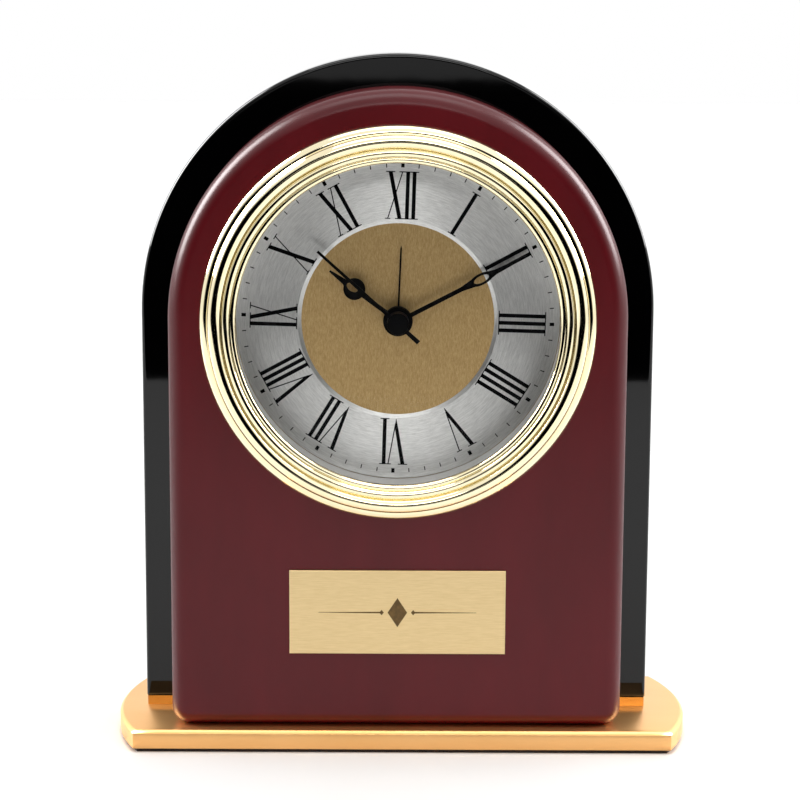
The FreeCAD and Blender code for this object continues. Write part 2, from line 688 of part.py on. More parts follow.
def make_coil(core):
    middle_w = (CORE_W[0] + CORE_W[1]) / 2
    middle_d = (CORE_D[0] + CORE_D[1]) / 2
    coil = Part.makeCylinder(COIL_R, 2 * COIL_HALF, place(-COIL_HALF, middle_w, middle_d), V(1, 0, 0))
    cheeks = [block(u, u + CHEEK_THICK, *CHEEK_W, *CHEEK_D) for u in (-COIL_HALF - CHEEK_THICK, COIL_HALF)]
    return fuse([coil] + cheeks).cut(core)


def make_motor():
    """Stator plate round the rotor, a coil on its core, and the circuit board."""
    core = block(-STATOR_HALF, STATOR_HALF, *CORE_W, *CORE_D)
    crystal_r, crystal_long = CRYSTAL
    save_movement("stator", make_stator(core))
    save_movement("coil", make_coil(core))
    save_movement("circuit_board", block(*BOARD_U, *BOARD_W, *BOARD_D))
    crystal = Part.makeCylinder(crystal_r, crystal_long, place(*CRYSTAL_AT), V(0, 0, 1))
    save_movement("quartz_crystal", crystal)
    save_movement("buzzer", rod(*BUZZER_AT, BUZZER_FRONT, BACK_WALL, BUZZER_R))


def make_switch():
    """Alarm on and off: a slide behind the rear shell, with a ribbed thumb piece."""
    low, high = span(SWITCH_W, 1.9)
    neck_low, neck_high = span(SWITCH_W, 1.0)
    rib_front = SWITCH_BACK
    carrier = block(SWITCH_U - 5.5, SWITCH_U + 2.5, low, high, SWITCH_FRONT, BACK_WALL - 0.1)
    neck = block(SWITCH_U - 3.5, SWITCH_U + 0.5, neck_low, neck_high, SWITCH_FRONT, rib_front)
    ribs = [block(u, u + 0.5, neck_low, neck_high, rib_front, rib_front + SWITCH_RIB)
            for u in (SWITCH_U - 3.2, SWITCH_U - 1.7, SWITCH_U - 0.2)]
    return fuse([carrier, neck] + ribs)


def make_power():
    """AA battery between two contact plates."""
    half = BATTERY_LEN / 2
    nub_r, nub_long = NUB
    body = Part.makeCylinder(BATTERY_R, BATTERY_LEN, place(-half, BATTERY_W, BATTERY_D), V(1, 0, 0))
    nub = Part.makeCylinder(nub_r, nub_long, place(half, BATTERY_W, BATTERY_D), V(1, 0, 0))
    save_movement("battery", body.fuse(nub).removeSplitter())

    side = MOVEMENT_HALF - WALL
    contacts = []
    for sign, thick in CONTACT_THICK:
        low, high = sorted((sign * side, sign * (side - thick)))
        contacts.append(block(low, high, *span(BATTERY_W, CONTACT_HALF), *CONTACT_D))
    save_movement("battery_contacts", Part.makeCompound(contacts))


# ---------------------------------------------------------------- hands
def hand_blade(outline, d0, thick, angle):
    """Flat blade pointing at twelve, then turned clockwise seen from the front."""
    blade = slab(outline, d0, d0 + thick)
    blade.rotate(place(0, 0, 0), V(0, 1, 0), angle)
    return blade


def strip(half, length, d0, thick, angle):
    return hand_blade([(-half, 0), (-half, length), (half, length), (half, 0)], d0, thick, angle)


def spear(foot, root, neck_half, neck, end_half, length, d0, angle):
    """Tapering tip from a wide root through a neck to a narrow end."""
    outline = [(-foot, root), (-neck_half, neck), (-end_half, length), (end_half, length), (neck_half, neck),
               (foot, root)]
    return hand_blade(outline, d0, HAND_THICK, angle)


def turned_rod(distance, d0, d1, r, angle):
    u, w = polar(0, 0, distance, 90 - angle)
    return rod(u, w, d0, d1, r)


def oval(length, width, distance, d0, d1, angle):
    """Ellipse-shaped plug whose long axis lies along the hand."""
    curve = Part.Ellipse(place(0, 0, d0), length / 2, width / 2)
    curve.Axis = V(0, -1, 0)
    curve.XAxis = V(0, 0, 1)
    face = Part.Face(Part.Wire([curve.toShape()]))
    plug = face.extrude(V(0, d1 - d0, 0))
    plug.translate(V(0, 0, distance))
    plug.rotate(place(0, 0, 0), V(0, 1, 0), angle)
    return plug


def make_alarm_hand():
    outside, front = ALARM_PIPE[1:]
    taper = ALARM_LENGTH - 0.9
    blade = hand_blade([(-0.25, 0), (-0.22, taper), (0, ALARM_LENGTH), (0.22, taper), (0.25, 0)], front,
                       THIN_HAND, ALARM_ANGLE)
    hub = rod(0, 0, front, front + THIN_HAND, 3.6)
    return bored(fuse([hub, blade]), 0, 0, outside)


def make_hour_hand():
    outside, front = HOUR_PIPE[1:]
    top = front + HAND_THICK
    arm = strip(0.6, HOUR_RING_AT - HOUR_RING_R + 0.4, front, HAND_THICK, HOUR_ANGLE)
    neck = HOUR_RING_AT + 3.2
    tip = spear(1.35, HOUR_RING_AT + 2.2, 0.75, neck, 0.25, HOUR_LENGTH, front, HOUR_ANGLE)
    ring = turned_rod(HOUR_RING_AT, front, top, HOUR_RING_R, HOUR_ANGLE)
    hole = oval(*HOUR_HOLE, HOUR_HOLE_AT, front - 1, top + 1, HOUR_ANGLE)
    hub = rod(0, 0, front, top, 3.9)
    return bored(fuse([hub, arm, ring, tip]).cut(hole), 0, 0, outside)


def make_minute_hand():
    outside, front = MINUTE_PIPE[1:]
    top = front + HAND_THICK
    arm = strip(0.58, EYE_AT - 2.8, front, HAND_THICK, MINUTE_ANGLE)
    root, foot = EYE_ROOT
    flare = hand_blade([(-0.58, root), (-1.1, foot), (1.1, foot), (0.58, root)], front, HAND_THICK,
                       MINUTE_ANGLE)
    tip = spear(1.05, EYE_AT + 2.3, 0.65, EYE_AT + 4.2, 0.2, MINUTE_LENGTH, front, MINUTE_ANGLE)
    eye = oval(*EYE, EYE_AT, front, top, MINUTE_ANGLE)
    hole = oval(*EYE_HOLE, EYE_AT, front - 1, top + 1, MINUTE_ANGLE)
    hub = rod(0, 0, front, top, 3.85)
    return bored(fuse([hub, arm, flare, eye, tip]).cut(hole), 0, 0, outside)


def make_second_hand():
    """Slim blade with a wider tail, level with the front of its cap."""
    outline = [(-0.6, -SECOND_TAIL), (-0.5, 0), (-0.34, SECOND_LENGTH), (0.34, SECOND_LENGTH), (0.5, 0),
               (0.6, -SECOND_TAIL)]
    blade = hand_blade(outline, SECOND_FRONT + SECOND_ROUND, THIN_HAND, SECOND_ANGLE)
    cap = rod(0, 0, SECOND_FRONT, SECOND_FRONT + SECOND_CAP_LONG, SECOND_CAP_R)
    cap = cap.makeFillet(SECOND_ROUND, edges_at_y(cap, FACE_Y + SECOND_FRONT))
    return fuse([cap, blade]).cut(rod(0, 0, SECOND_FRONT + SECOND_SOCKET, THROUGH, SECOND_ARBOR_R))


# ---------------------------------------------------------------- whole clock
shell_screws = Part.makeCompound([make_shell_screw(u, w) for u, w in SHELL_SCREWS])

make_case()
make_housing()
save_movement("second_wheel", make_second_wheel())
save_movement("intermediate_wheel", make_intermediate_wheel())
save_movement("rotor", make_rotor())
save_movement("third_wheel", make_third_wheel())
save_movement("centre_wheel", make_centre_wheel())
make_motion_work()
save_movement("shell_screws", shell_screws)
save_movement("movement_front", make_front_shell(shell_screws))
save_movement("movement_rear", make_rear_shell(shell_screws))
save_movement("battery_door", make_door())
save_movement("middle_plate", make_middle_plate())
make_motor()
save_movement("alarm_switch", make_switch())
make_power()
save_insert("alarm_hand", make_alarm_hand())
save_insert("hour_hand", make_hour_hand())
save_insert("minute_hand", make_minute_hand())
save_insert("second_hand", make_second_hand())
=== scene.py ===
"""Looks of the arch-shaped mantel clock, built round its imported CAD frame."""
import math
import bmesh
import bpy
from mathutils import Matrix, Vector


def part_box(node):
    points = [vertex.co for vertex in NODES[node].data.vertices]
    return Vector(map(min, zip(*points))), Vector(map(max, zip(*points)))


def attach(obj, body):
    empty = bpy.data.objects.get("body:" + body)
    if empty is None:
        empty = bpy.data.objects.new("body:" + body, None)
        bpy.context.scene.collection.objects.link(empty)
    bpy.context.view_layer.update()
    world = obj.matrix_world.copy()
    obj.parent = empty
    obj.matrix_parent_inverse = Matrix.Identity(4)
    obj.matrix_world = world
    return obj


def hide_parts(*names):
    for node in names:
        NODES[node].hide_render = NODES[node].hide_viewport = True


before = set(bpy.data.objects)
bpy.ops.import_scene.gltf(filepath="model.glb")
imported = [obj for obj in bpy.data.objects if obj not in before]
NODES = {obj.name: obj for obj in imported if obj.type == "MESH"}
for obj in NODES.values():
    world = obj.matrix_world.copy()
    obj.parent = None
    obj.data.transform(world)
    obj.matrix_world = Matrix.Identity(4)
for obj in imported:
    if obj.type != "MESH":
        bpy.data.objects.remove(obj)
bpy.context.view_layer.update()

MM = 0.001

# ------------------------------------------------------------ places read from the frame
BEZEL_LOW, BEZEL_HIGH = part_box("bezel")
FRONT_LOW, FRONT_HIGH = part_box("front_board")
REAR_LOW, REAR_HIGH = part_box("rear_board")
BASE_LOW, BASE_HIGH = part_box("base_plate")
PLATE_LOW, PLATE_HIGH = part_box("nameplate")

AXIS_X = (BEZEL_LOW.x + BEZEL_HIGH.x) / 2
AXIS_Z = (BEZEL_LOW.z + BEZEL_HIGH.z) / 2
FACE_Y = FRONT_LOW.y
INSERT_TURN = math.radians(1.6)


def depth(y):
    """Distance behind the case's front face, in mm, of a y in metres."""
    return (y - FACE_Y) / MM


DIAL_D = depth(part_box("dial")[0].y)
RING_D = depth(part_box("chapter_ring")[0].y)
LENS_FRONT = depth(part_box("lens")[0].y)
LENS_BACK = depth(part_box("lens")[1].y)
SEAL_BACK = depth(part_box("lens_seal")[1].y)


def place(u, w, d):
    """Point of the insert: u right and w up from the hand axis, d behind the face, in mm."""
    c = math.cos(INSERT_TURN)
    s = math.sin(INSERT_TURN)
    return Vector((AXIS_X + (u * c + w * s) * MM, FACE_Y + d * MM, AXIS_Z + (w * c - u * s) * MM))


# ------------------------------------------------------------ mesh helpers
def new_piece(name, verts, faces, body, smooth=35.0):
    """Mesh object, sharp past smooth degrees, that rides on body if there is one."""
    mesh = bpy.data.meshes.new(name)
    mesh.from_pydata([tuple(v) for v in verts], [], faces)
    mesh.validate()
    piece = bpy.data.objects.new(name, mesh)
    bpy.context.scene.collection.objects.link(piece)
    work = bmesh.new()
    work.from_mesh(mesh)
    bmesh.ops.recalc_face_normals(work, faces=work.faces)
    work.to_mesh(mesh)
    work.free()
    mesh.polygons.foreach_set("use_smooth", [True] * len(mesh.polygons))
    mesh.set_sharp_from_angle(angle=math.radians(smooth))
    if body:
        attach(piece, body)
    return piece


def three_point_arc(a, b, c, steps):
    """Points of the arc from a through b to c, without its first point."""
    ax, ay = a
    bx, by = b
    cx, cy = c
    d = 2 * (ax * (by - cy) + bx * (cy - ay) + cx * (ay - by))
    ux = ((ax**2 + ay**2) * (by - cy) + (bx**2 + by**2) * (cy - ay) + (cx**2 + cy**2) * (ay - by)) / d
    uy = ((ax**2 + ay**2) * (cx - bx) + (bx**2 + by**2) * (ax - cx) + (cx**2 + cy**2) * (bx - ax)) / d
    r = math.hypot(ax - ux, ay - uy)
    start = math.atan2(ay - uy, ax - ux)
    middle = math.atan2(by - uy, bx - ux)
    end = math.atan2(cy - uy, cx - ux)
    turn = (end - start) % math.tau
    if (middle - start) % math.tau > turn:
        turn -= math.tau
    angles = [start + turn * k / steps for k in range(1, steps + 1)]
    return [(ux + r * math.cos(t), uy + r * math.sin(t)) for t in angles]


def bands(loops, closed):
    """Faces between neighbouring loops of points; closed joins the last loop to the first."""
    rows = len(loops)
    count = len(loops[0])
    faces = []
    for i in range(rows if closed else rows - 1):
        j = (i + 1) % rows
        for k in range(count):
            m = (k + 1) % count
            faces.append((i * count + k, i * count + m, j * count + m, j * count + k))
    return faces


def ring_mesh(name, loops, body, smooth=35.0):
    """Surface through loops with the same number of points; the last loop joins the first."""
    verts = [p for loop in loops for p in loop]
    return new_piece(name, verts, bands(loops, True), body, smooth)


def lathe(name, section, body, segments=288, smooth=35.0):
    """Ring about the hand axis from a closed section of (radius, depth) points in mm."""
    angles = [math.tau * k / segments for k in range(segments)]
    loops = [[place(r * math.cos(a), r * math.sin(a), d) for a in angles] for r, d in section]
    return ring_mesh(name, loops, body, smooth)


def capped(name, loops, body, smooth=35.0):
    """Closed solid through loops, with the first and last filled."""
    count = len(loops[0])
    verts = [p for loop in loops for p in loop]
    last = len(verts) - count
    ends = [tuple(range(count)), tuple(last + k for k in range(count))]
    return new_piece(name, verts, ends + bands(loops, False), body, smooth)


def flat_marks(name, outlines, put, front, back, body):
    """Thin raised marks: outlines of (u, w) in mm, which put(u, w, depth) sets in space."""
    verts = []
    faces = []
    for outline in outlines:
        n = len(outline)
        at = len(verts)
        verts += [put(u, w, front) for u, w in outline]
        verts += [put(u, w, back) for u, w in outline]
        faces.append(tuple(at + k for k in range(n)))
        faces.append(tuple(at + n + k for k in reversed(range(n))))
        for k in range(n):
            m = (k + 1) % n
            faces.append((at + k, at + m, at + n + m, at + n + k))
    return new_piece(name, verts, faces, body, 20.0)


# ------------------------------------------------------------ material helpers
def shader(name, **values):
    """New material; values set the Principled shader's own sockets."""
    mat = bpy.data.materials.new(name)
    mat.use_nodes = True
    bsdf = mat.node_tree.nodes["Principled BSDF"]
    for key, value in values.items():
        bsdf.inputs[key.replace("_", " ")].default_value = value
    return mat, mat.node_tree, bsdf


def node(tree, kind, **values):
    made = tree.nodes.new(kind)
    for key, value in values.items():
        setattr(made, key, value)
    return made


def stretched(tree, scale=(1.0, 1.0, 1.0), turn=0.0):
    """Object coordinates scaled along each axis, turned about Y first."""
    coord = node(tree, "ShaderNodeTexCoord")
    mapping = node(tree, "ShaderNodeMapping")
    mapping.inputs["Scale"].default_value = scale
    mapping.inputs["Rotation"].default_value = (0.0, turn, 0.0)
    tree.links.new(coord.outputs["Object"], mapping.inputs["Vector"])
    return mapping.outputs["Vector"]


def noise(tree, vector, scale, detail=4.0, rough=0.55):
    made = node(tree, "ShaderNodeTexNoise")
    made.inputs["Scale"].default_value = scale
    made.inputs["Detail"].default_value = detail
    made.inputs["Roughness"].default_value = rough
    tree.links.new(vector, made.inputs["Vector"])
    return made.outputs["Fac"]


def ramp(tree, fac, stops):
    """Colour ramp with stops of (position, colour)."""
    made = node(tree, "ShaderNodeValToRGB")
    elements = made.color_ramp.elements
    elements[0].position = stops[0][0]
    elements[0].color = (*stops[0][1], 1.0)
    elements[1].position = stops[-1][0]
    elements[1].color = (*stops[-1][1], 1.0)
    for position, colour in stops[1:-1]:
        element = elements.new(position)
        element.color = (*colour, 1.0)
    tree.links.new(fac, made.inputs["Fac"])
    return made.outputs["Color"]


def levels(tree, fac, low, high):
    """Map 0..1 to low..high."""
    made = node(tree, "ShaderNodeMapRange")
    made.inputs["To Min"].default_value = low
    made.inputs["To Max"].default_value = high
    tree.links.new(fac, made.inputs["Value"])
    return made.outputs["Result"]


def dress(tree, bsdf, pattern, stops, rough):
    """Colour and roughness of the shader from one pattern."""
    tree.links.new(ramp(tree, pattern, stops), bsdf.inputs["Base Color"])
    tree.links.new(levels(tree, pattern, *rough), bsdf.inputs["Roughness"])


def bump(tree, bsdf, height, strength, distance):
    made = node(tree, "ShaderNodeBump")
    made.inputs["Strength"].default_value = strength
    made.inputs["Distance"].default_value = distance
    tree.links.new(height, made.inputs["Height"])
    tree.links.new(made.outputs["Normal"], bsdf.inputs["Normal"])


def polar_vector(tree, radial, around):
    """Coordinates that run with radius and only slowly round the hand axis."""
    coord = node(tree, "ShaderNodeTexCoord")
    shift = node(tree, "ShaderNodeVectorMath", operation="SUBTRACT")
    shift.inputs[1].default_value = (AXIS_X, 0.0, AXIS_Z)
    flat = node(tree, "ShaderNodeVectorMath", operation="MULTIPLY")
    flat.inputs[1].default_value = (1.0, 0.0, 1.0)
    size = node(tree, "ShaderNodeVectorMath", operation="LENGTH")
    way = node(tree, "ShaderNodeVectorMath", operation="NORMALIZE")
    way_scaled = node(tree, "ShaderNodeVectorMath", operation="SCALE")
    way_scaled.inputs["Scale"].default_value = around
    size_scaled = node(tree, "ShaderNodeMath", operation="MULTIPLY")
    size_scaled.inputs[1].default_value = radial
    parts = node(tree, "ShaderNodeCombineXYZ")
    total = node(tree, "ShaderNodeVectorMath", operation="ADD")
    links = tree.links
    links.new(coord.outputs["Object"], shift.inputs[0])
    links.new(shift.outputs["Vector"], flat.inputs[0])
    links.new(flat.outputs["Vector"], size.inputs[0])
    links.new(flat.outputs["Vector"], way.inputs[0])
    links.new(way.outputs["Vector"], way_scaled.inputs[0])
    links.new(size.outputs["Value"], size_scaled.inputs[0])
    links.new(size_scaled.outputs["Value"], parts.inputs["Y"])
    links.new(way_scaled.outputs["Vector"], total.inputs[0])
    links.new(parts.outputs["Vector"], total.inputs[1])
    return total.outputs["Vector"]


# ------------------------------------------------------------ materials
def mahogany_lacquer():
    """Deep red satin lacquer with a soft figure under it."""
    mat, tree, bsdf = shader("mahogany_lacquer", Specular_IOR_Level=0.05, Coat_Weight=0.5,
                             Coat_Roughness=0.26)
    figure = noise(tree, stretched(tree, (1.0, 1.0, 0.35)), 55.0, 5.0)
    colour = ramp(tree, figure, [(0.25, (0.074, 0.0010, 0.0032)), (0.5, (0.090, 0.0015, 0.0045)),
                                 (0.8, (0.108, 0.0022, 0.0060))])
    tree.links.new(colour, bsdf.inputs["Base Color"])
    grain = noise(tree, stretched(tree), 900.0, 2.0)
    tree.links.new(levels(tree, grain, 0.36, 0.48), bsdf.inputs["Roughness"])
    bump(tree, bsdf, grain, 0.12, 0.00012)
    return mat


def piano_black():
    """Deep black gloss lacquer, not quite flat."""
    mat, tree, bsdf = shader("piano_black", Roughness=0.03, Specular_IOR_Level=0.38)
    cloud = noise(tree, stretched(tree), 30.0, 2.0)
    colour = ramp(tree, cloud, [(0.3, (0.0004, 0.0004, 0.0005)), (0.7, (0.0008, 0.0008, 0.0010))])
    tree.links.new(colour, bsdf.inputs["Base Color"])
    peel = noise(tree, stretched(tree), 160.0, 1.0)
    bump(tree, bsdf, peel, 0.02, 0.0001)
    return mat


def satin_gold():
    """Satin gold of the base, with a fine grain."""
    mat, tree, bsdf = shader("satin_gold", Metallic=1.0)
    cloud = noise(tree, stretched(tree, (0.6, 1.0, 1.0)), 60.0, 5.0)
    colour = ramp(tree, cloud, [(0.3, (0.85, 0.47, 0.175)), (0.7, (0.91, 0.52, 0.21))])
    tree.links.new(colour, bsdf.inputs["Base Color"])
    grain = noise(tree, stretched(tree), 2600.0, 2.0)
    tree.links.new(levels(tree, grain, 0.28, 0.42), bsdf.inputs["Roughness"])
    bump(tree, bsdf, grain, 0.15, 0.00006)
    return mat


def polished_gold():
    """Pale bright gold of the bezel."""
    mat, tree, bsdf = shader("polished_gold", Metallic=1.0)
    cloud = noise(tree, stretched(tree), 90.0, 3.0)
    dress(tree, bsdf, cloud, [(0.3, (0.94, 0.83, 0.54)), (0.7, (0.97, 0.87, 0.60))], (0.03, 0.09))
    return mat


def plinth_gold():
    """Deeper gold of the plinth under the rear board."""
    mat, tree, bsdf = shader("plinth_gold", Metallic=1.0)
    cloud = noise(tree, stretched(tree, (1.0, 1.0, 4.0)), 120.0, 3.0)
    dress(tree, bsdf, cloud, [(0.3, (0.80, 0.44, 0.125)), (0.7, (0.85, 0.49, 0.15))], (0.08, 0.16))
    return mat


def chapter_silver():
    """Silver ring brushed in circles."""
    mat, tree, bsdf = shader("chapter_silver", Metallic=1.0, Anisotropic=0.9, Anisotropic_Rotation=0.25)
    streak = noise(tree, polar_vector(tree, 3200.0, 11.0), 1.0, 4.0, 0.7)
    dress(tree, bsdf, streak, [(0.3, (0.60, 0.60, 0.58)), (0.7, (0.86, 0.86, 0.84))], (0.28, 0.42))
    bump(tree, bsdf, streak, 0.25, 0.00003)
    tangent = node(tree, "ShaderNodeTangent", direction_type="RADIAL", axis="Y")
    tree.links.new(tangent.outputs["Tangent"], bsdf.inputs["Tangent"])
    return mat


def dial_gold():
    """Gold centre brushed up and down."""
    mat, tree, bsdf = shader("dial_gold", Metallic=1.0)
    streak = noise(tree, stretched(tree, (1.0, 1.0, 0.25), INSERT_TURN), 3600.0, 3.0, 0.7)
    dress(tree, bsdf, streak, [(0.3, (0.39, 0.25, 0.098)), (0.7, (0.57, 0.405, 0.19))], (0.36, 0.50))
    bump(tree, bsdf, streak, 0.2, 0.00003)
    return mat


def plate_gold():
    """Pale gold brushed from side to side."""
    mat, tree, bsdf = shader("plate_gold", Metallic=1.0)
    streak = noise(tree, stretched(tree, (0.06, 1.0, 1.0)), 5200.0, 3.0, 0.6)
    dress(tree, bsdf, streak, [(0.3, (0.70, 0.52, 0.265)), (0.7, (0.79, 0.605, 0.325))], (0.30, 0.44))
    bump(tree, bsdf, streak, 0.12, 0.00002)
    return mat


def inner_silver():
    """Pale silver of the wall ring behind the glass, round the dial."""
    mat, tree, bsdf = shader("inner_silver", Metallic=0.1, Roughness=0.45)
    streak = noise(tree, stretched(tree, (0.2, 3.0, 0.2)), 2500.0, 2.0)
    colour = ramp(tree, streak, [(0.3, (0.82, 0.82, 0.81)), (0.7, (0.88, 0.88, 0.87))])
    tree.links.new(colour, bsdf.inputs["Base Color"])
    return mat


def clear_glass():
    """Thin flat glass: what is behind shows straight through, with a faint reflection."""
    mat, tree, bsdf = shader("clear_glass")
    tree.nodes.remove(bsdf)
    clear = node(tree, "ShaderNodeBsdfTransparent")
    gloss = node(tree, "ShaderNodeBsdfGlossy")
    gloss.inputs["Roughness"].default_value = 0.02
    edge = node(tree, "ShaderNodeFresnel")
    edge.inputs["IOR"].default_value = 1.1
    mix = node(tree, "ShaderNodeMixShader")
    tree.links.new(edge.outputs["Fac"], mix.inputs["Fac"])
    tree.links.new(clear.outputs["BSDF"], mix.inputs[1])
    tree.links.new(gloss.outputs["BSDF"], mix.inputs[2])
    out = next(n for n in tree.nodes if n.type == "OUTPUT_MATERIAL")
    tree.links.new(mix.outputs["Shader"], out.inputs["Surface"])
    return mat


def painted(name, colour, rough, coarse=400.0, vary=0.25, metal=0.0, dent=0.05, coat=0.0, gloss=0.5):
    """Moulded or painted surface: slight mottle in colour and gloss, and a fine skin."""
    mat, tree, bsdf = shader(name, Metallic=metal, Coat_Weight=coat, Specular_IOR_Level=gloss)
    cloud = noise(tree, stretched(tree), coarse, 4.0)
    low = tuple(c * (1 - vary) for c in colour)
    high = tuple(min(c * (1 + vary), 1.0) for c in colour)
    dress(tree, bsdf, cloud, [(0.3, low), (0.7, high)], (rough * 0.85, rough * 1.15))
    bump(tree, bsdf, noise(tree, stretched(tree), coarse * 8, 2.0), dent, 0.00005)
    return mat


# ------------------------------------------------------------ pieces of the case
BORE_R = 45.0 * MM
FRONT_CORNER = 4.75 * MM
FRONT_ROUND = 4.5 * MM
FRONT_BACK_ROUND = 0.2 * MM
REAR_CORNER = 0.3 * MM
REAR_ROUND = 1.0 * MM
FRONT_ROUND_STEPS = 14
REAR_ROUND_STEPS = 8
SMALLEST_CORNER = 0.02 * MM
FLAT_RIM = 0.25 * MM
ARCH_STEPS = 96
SIDE_STEPS = 12
CORNER_STEPS = 6

BASE_CORNER_X = 72.05 * MM
BASE_BREAK = 0.25
BASE_TOP_EDGE = ((0.0, 0.95), (0.06, 0.78), (0.78, 0.06), (0.95, 0.0))
BASE_STEPS = 24
BOW_STEPS = 32


def arch_loop(low, high, corner, inset, y):
    """Arch outline seen from the front, drawn inwards by inset, at depth y."""
    half = (high.x - low.x) / 2 - inset
    middle = (high.x + low.x) / 2
    spring = high.z - (high.x - low.x) / 2
    bottom = low.z + inset
    r = max(corner - inset, SMALLEST_CORNER)
    points = []
    for k in range(SIDE_STEPS):
        points.append((-half + r + (2 * half - 2 * r) * k / SIDE_STEPS, bottom))
    for k in range(CORNER_STEPS + 1):
        a = -math.pi / 2 + math.pi / 2 * k / CORNER_STEPS
        points.append((half - r * (1 - math.cos(a)), bottom + r * (1 + math.sin(a))))
    for k in range(1, SIDE_STEPS):
        points.append((half, bottom + r + (spring - bottom - r) * k / SIDE_STEPS))
    for k in range(ARCH_STEPS + 1):
        a = math.pi * k / ARCH_STEPS
        points.append((half * math.cos(a), spring + half * math.sin(a)))
    for k in range(1, SIDE_STEPS):
        points.append((-half, spring - (spring - bottom - r) * k / SIDE_STEPS))
    for k in range(CORNER_STEPS):
        a = math.pi + math.pi / 2 * k / CORNER_STEPS
        points.append((-half + r * (1 + math.cos(a)), bottom + r * (1 + math.sin(a))))
    return [Vector((middle + x, y, z)) for x, z in points]


def bore_loop(outline, radius, y):
    """Circle of the bore with one point for each outline point, in the same direction."""
    loop = []
    for p in outline:
        a = math.atan2(p.z - AXIS_Z, p.x - AXIS_X)
        loop.append(Vector((AXIS_X + radius * math.cos(a), y, AXIS_Z + radius * math.sin(a))))
    return loop


def board(name, low, high, corner, front_round, back_round, steps):
    """Arched board with a through bore and rounded edges; narrow flat rims keep its faces flat."""
    loops = [arch_loop(low, high, corner, back_round + FLAT_RIM, high.y)]
    for k in range(steps + 1):
        a = math.pi / 2 * k / steps
        inset = back_round * (1 - math.sin(a))
        loops.append(arch_loop(low, high, corner, inset, high.y - back_round * (1 - math.cos(a))))
    for k in range(steps + 1):
        a = math.pi / 2 * (1 - k / steps)
        inset = front_round * (1 - math.sin(a))
        loops.append(arch_loop(low, high, corner, inset, low.y + front_round * (1 - math.cos(a))))
    loops.append(arch_loop(low, high, corner, front_round + FLAT_RIM, low.y))
    loops.append(bore_loop(loops[-1], BORE_R, low.y))
    loops.append(bore_loop(loops[0], BORE_R, high.y))
    return ring_mesh(name, loops, "clock_case", 40.0)


def base_loop(inset, z):
    """Outline of the base: straight front and back, bowed ends."""
    corner = BASE_CORNER_X - inset
    half_mid = (BASE_HIGH.x - BASE_LOW.x) / 2 - inset
    y0 = BASE_LOW.y + inset
    y1 = BASE_HIGH.y - inset
    ym = (y0 + y1) / 2
    rise = half_mid - corner
    chord = (y1 - y0) / 2
    radius = (chord**2 + rise**2) / (2 * rise)
    sweep = math.asin(chord / radius)
    front = [(-corner + 2 * corner * k / BASE_STEPS, y0) for k in range(BASE_STEPS)]
    angles = [-sweep + 2 * sweep * k / BOW_STEPS for k in range(BOW_STEPS + 1)]
    right = [(half_mid - radius + radius * math.cos(a), ym + radius * math.sin(a)) for a in angles]
    back = [(-x, y1) for x, y in front[1:]]
    left = [(-x, 2 * ym - y) for x, y in right[:-1]]
    return [Vector((x, y, z)) for x, y in front + right + back + left]


def make_base(mats):
    """Base slab: a small break round the bottom and a softened chamfer round the top."""
    rim = [(BASE_BREAK, BASE_LOW.z), (0.0, BASE_LOW.z + BASE_BREAK * MM)]
    rim += [(inset, BASE_HIGH.z - drop * MM) for inset, drop in BASE_TOP_EDGE]
    base = capped("base", [base_loop(inset * MM, z) for inset, z in rim], "clock_case", 50.0)
    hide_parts("base_plate")
    base.data.materials.append(mats["satin_gold"])


def make_boards(mats):
    """Red front board and black rear board, both bored for the insert."""
    front = board("front_arch", FRONT_LOW, FRONT_HIGH, FRONT_CORNER, FRONT_ROUND, FRONT_BACK_ROUND,
                  FRONT_ROUND_STEPS)
    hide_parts("front_board")
    front.data.materials.append(mats["mahogany_lacquer"])
    rear = board("rear_arch", REAR_LOW, REAR_HIGH, REAR_CORNER, REAR_ROUND, REAR_ROUND,
                 REAR_ROUND_STEPS)
    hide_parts("rear_board")
    rear.data.materials.append(mats["piano_black"])


# ------------------------------------------------------------ pieces of the insert
BEZEL_R = 52.0
BEZEL_NECK_R = 47.9
BEZEL_SEAT_R = 43.65
BEZEL_BEADS = (
    ((BEZEL_R, -0.6), (51.27, -2.0), (49.85, -2.6), 14),
    ((49.65, -2.9), (48.45, -4.9), (46.23, -4.3), 20),
    ((46.03, -3.7), (44.86, -4.6), (43.78, -3.9), 16),
    ((43.69, -3.6), (42.81, -3.75), (42.17, LENS_FRONT), 10),
)
LENS_R = 43.6
LENS_BEVEL = 0.3
LENS_MIDDLE_R = 0.001
RING_R = 42.85
RING_EDGE = 0.15
RING_FLAT_R = 26.5
RING_LIP = ((25.5, 0.0), (25.5, 0.1), (25.9, 0.22))


def make_bezel(mats):
    """Four rounded steps, each an arc through its start, crest and end."""
    section = [(BEZEL_R, 0.0)]
    for start, crest, end, steps in BEZEL_BEADS:
        section.append(start)
        section += three_point_arc(start, crest, end, steps)
    section += [(BEZEL_SEAT_R, LENS_FRONT), (BEZEL_SEAT_R, SEAL_BACK)]
    section += [(BEZEL_NECK_R, SEAL_BACK), (BEZEL_NECK_R, 0.0)]
    bezel = lathe("bezel_ring", section, "clock_case", 360, 28.0)
    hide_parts("bezel")
    bezel.data.materials.append(mats["polished_gold"])


def make_lens(mats):
    """Flat glass disc with a bevel round its front edge."""
    section = [(LENS_MIDDLE_R, LENS_FRONT), (LENS_R - LENS_BEVEL, LENS_FRONT),
               (LENS_R, LENS_FRONT + LENS_BEVEL), (LENS_R, LENS_BACK), (LENS_MIDDLE_R, LENS_BACK)]
    lens = lathe("lens_glass", section, "clock_case", 192)
    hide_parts("lens")
    lens.data.materials.append(mats["clear_glass"])


